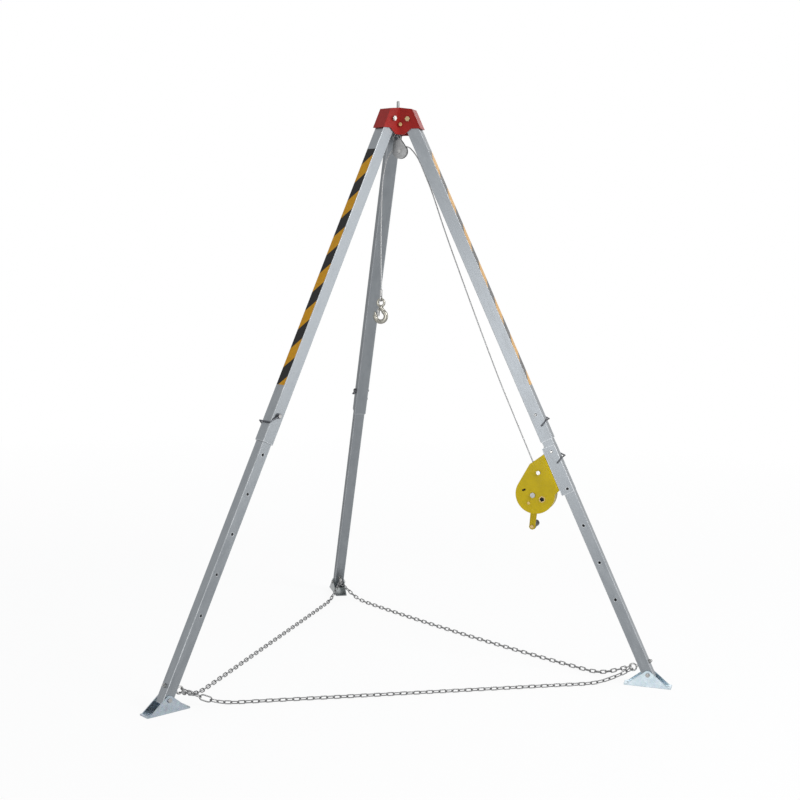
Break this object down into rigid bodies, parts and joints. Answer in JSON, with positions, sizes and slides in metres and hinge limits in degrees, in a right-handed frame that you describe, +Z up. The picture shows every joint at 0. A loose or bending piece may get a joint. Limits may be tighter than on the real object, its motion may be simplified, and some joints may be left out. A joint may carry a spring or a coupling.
{
  "type": "rescue tripod",
  "caption": "Folding rescue tripod with telescopic square legs, hinged feet, a foot chain, a head with a pulley, and a hand winch that hoists a hook on wire rope.",
  "frame": {"origin": "floor level under the middle of the box round the three feet", "axes": "+Z up, +Y towards the rear leg, +X towards the side of the winch leg"},
  "size_m": [1.9524, 1.6922, 2.154],
  "materials": {
    "red_paint": "gloss",
    "yellow_paint": "gloss",
    "leg_aluminium": "satin",
    "warning_tape": "satin",
    "zinc": "satin",
    "bright_steel": "polished",
    "grey_steel": "satin",
    "wire_rope": "satin",
    "chain_steel": "satin",
    "black_plastic": "satin"
  },
  "bodies": {
    "head": {"head_shell": "red_paint", "hub_core": "grey_steel", "hub_screws": "bright_steel", "head_eyebolt": "bright_steel", "head_nut": "bright_steel", "pivot_bolts": "bright_steel", "chain_front": "chain_steel", "chain_rear": "chain_steel", "chain_left": "chain_steel"},
    "leg_left": {"upper_tube_left": "leg_aluminium", "tape_left": "warning_tape", "lock_pin_left": "bright_steel"},
    "lower_left": {"lower_tube_left": "leg_aluminium", "ring_bolt_left": "bright_steel"},
    "foot_left": {"foot_left": "zinc", "foot_bolt_left": "bright_steel"},
    "bail_left": {"bail_left": "bright_steel"},
    "leg_right": {"upper_tube_right": "leg_aluminium", "tape_right": "warning_tape", "lock_pin_right": "bright_steel", "saddle": "leg_aluminium", "saddle_pin": "bright_steel", "winch_plate_near": "yellow_paint", "winch_plate_far": "yellow_paint", "winch_casing": "yellow_paint", "winch_fasteners": "bright_steel", "rope_winch_run": "wire_rope"},
    "lower_right": {"lower_tube_right": "leg_aluminium", "ring_bolt_right": "bright_steel"},
    "foot_right": {"foot_right": "zinc", "foot_bolt_right": "bright_steel"},
    "bail_right": {"bail_right": "bright_steel"},
    "leg_rear": {"upper_tube_rear": "leg_aluminium", "tape_rear": "warning_tape", "lock_pin_rear": "bright_steel"},
    "lower_rear": {"lower_tube_rear": "leg_aluminium", "ring_bolt_rear": "bright_steel"},
    "foot_rear": {"foot_rear": "zinc", "foot_bolt_rear": "bright_steel"},
    "bail_rear": {"bail_rear": "bright_steel"},
    "bail_saddle": {"saddle_bail": "bright_steel"},
    "winch_drum": {"drum": "grey_steel", "drum_rope": "wire_rope", "drum_shaft": "bright_steel", "ratchet_wheel": "grey_steel", "crank_arm": "yellow_paint", "knob_axle": "bright_steel"},
    "crank_knob": {"knob": "black_plastic"},
    "roller": {"guide_roller": "grey_steel"},
    "pawl": {"pawl": "grey_steel"},
    "pulley": {"pulley_cheeks": "grey_steel", "pulley_pin": "bright_steel", "sheave_axle": "bright_steel", "rope_hook_run": "wire_rope"},
    "sheave": {"sheave": "grey_steel"},
    "hoist_end": {"rope_ferrule": "bright_steel", "rope_eye": "bright_steel"},
    "hook": {"hook": "grey_steel"},
    "latch": {"hook_latch": "bright_steel"}
  },
  "joints": [
    {"name": "leg_left_fold", "type": "hinge", "parent": "head", "child": "leg_left", "pos_m": [-0.04157, -0.29253, 2.085], "axis": [0.5, -0.866, 0], "range_deg": [0, 17], "deforming": ["chain_left"]},
    {"name": "leg_left_slide", "type": "slide", "parent": "leg_left", "child": "lower_left", "axis": [0.3749, 0.2164, 0.9015], "range_m": [-0.3, 0.6]},
    {"name": "foot_left_tilt", "type": "hinge", "parent": "lower_left", "child": "foot_left", "pos_m": [-0.88951, -0.78208, 0.046], "axis": [0.5, -0.866, 0], "range_deg": [-25, 30]},
    {"name": "bail_left_swing", "type": "hinge", "parent": "leg_left", "child": "bail_left", "pos_m": [-0.49517, -0.55441, 0.99424], "axis": [-0.5, 0.866, 0], "range_deg": [0, 95]},
    {"name": "leg_right_fold", "type": "hinge", "parent": "head", "child": "leg_right", "pos_m": [0.04157, -0.29253, 2.085], "axis": [0.5, 0.866, 0], "range_deg": [0, 17], "deforming": ["chain_front", "rope_winch_run"]},
    {"name": "leg_right_slide", "type": "slide", "parent": "leg_right", "child": "lower_right", "axis": [-0.3749, 0.2164, 0.9015], "range_m": [-0.3, 0.6]},
    {"name": "foot_right_tilt", "type": "hinge", "parent": "lower_right", "child": "foot_right", "pos_m": [0.88951, -0.78208, 0.046], "axis": [0.5, 0.866, 0], "range_deg": [-25, 30]},
    {"name": "bail_right_swing", "type": "hinge", "parent": "leg_right", "child": "bail_right", "pos_m": [0.49517, -0.55441, 0.99424], "axis": [-0.5, -0.866, 0], "range_deg": [0, 95]},
    {"name": "leg_rear_fold", "type": "hinge", "parent": "head", "child": "leg_rear", "pos_m": [0, -0.22053, 2.085], "axis": [-1, 0, 0], "range_deg": [0, 17], "deforming": ["chain_rear"]},
    {"name": "leg_rear_slide", "type": "slide", "parent": "leg_rear", "child": "lower_rear", "axis": [0, -0.4329, 0.9015], "range_m": [-0.3, 0.6]},
    {"name": "foot_rear_tilt", "type": "hinge", "parent": "lower_rear", "child": "foot_rear", "pos_m": [0, 0.75859, 0.046], "axis": [-1, 0, 0], "range_deg": [-25, 30]},
    {"name": "bail_rear_swing", "type": "hinge", "parent": "leg_rear", "child": "bail_rear", "pos_m": [0, 0.30325, 0.99424], "axis": [1, 0, 0], "range_deg": [0, 95]},
    {"name": "bail_saddle_swing", "type": "hinge", "parent": "leg_right", "child": "bail_saddle", "pos_m": [0.5514, -0.58688, 0.85902], "axis": [-0.5, -0.866, 0], "range_deg": [0, 95]},
    {"name": "crank_turn", "type": "hinge", "parent": "leg_right", "child": "winch_drum", "pos_m": [0.49562, -0.55467, 0.69053], "axis": [-0.5, -0.866, 0], "range_deg": [-501.34, 1718.87]},
    {"name": "knob_spin", "type": "hinge", "parent": "winch_drum", "child": "crank_knob", "pos_m": [0.48688, -0.54963, 0.55792], "axis": [0.5, 0.866, 0], "continuous": true},
    {"name": "roller_spin", "type": "hinge", "parent": "leg_right", "child": "roller", "pos_m": [0.51153, -0.56386, 0.77701], "axis": [0.5, 0.866, 0], "continuous": true},
    {"name": "pawl_lift", "type": "hinge", "parent": "leg_right", "child": "pawl", "pos_m": [0.4935, -0.55345, 0.64942], "axis": [0.5, 0.866, 0], "range_deg": [0, 20]},
    {"name": "pulley_swing", "type": "hinge", "parent": "head", "child": "pulley", "pos_m": [0, -0.26853, 2.0143], "axis": [0.5, 0.866, 0], "range_deg": [-5, 5]},
    {"name": "sheave_spin", "type": "hinge", "parent": "pulley", "child": "sheave", "pos_m": [0.01098, -0.27487, 1.96697], "axis": [-0.5, -0.866, 0], "range_deg": [-846, 2875]},
    {"name": "hook_hoist", "type": "slide", "parent": "pulley", "child": "hoist_end", "axis": [0, 0, -1], "range_m": [-0.351, 1.201], "deforming": ["rope_hook_run"]},
    {"name": "hook_swing", "type": "hinge", "parent": "hoist_end", "child": "hook", "pos_m": [-0.04417, -0.24303, 1.3977], "axis": [0.5, 0.866, 0], "range_deg": [-20, 20]},
    {"name": "latch_open", "type": "hinge", "parent": "hook", "child": "latch", "pos_m": [-0.05196, -0.23853, 1.3645], "axis": [-0.5, -0.866, 0], "range_deg": [0, 20], "stiffness_Nm_per_rad": 0.02, "springref_deg": -17.19}
  ],
  "couplings": [
    {"joint": "leg_right_fold", "follows": "leg_left_fold", "ratio": 1},
    {"joint": "leg_rear_fold", "follows": "leg_left_fold", "ratio": 1},
    {"joint": "hook_hoist", "follows": "crank_turn", "m_per_rad": 0.04},
    {"joint": "sheave_spin", "follows": "crank_turn", "ratio": 1.6667}
  ]
}
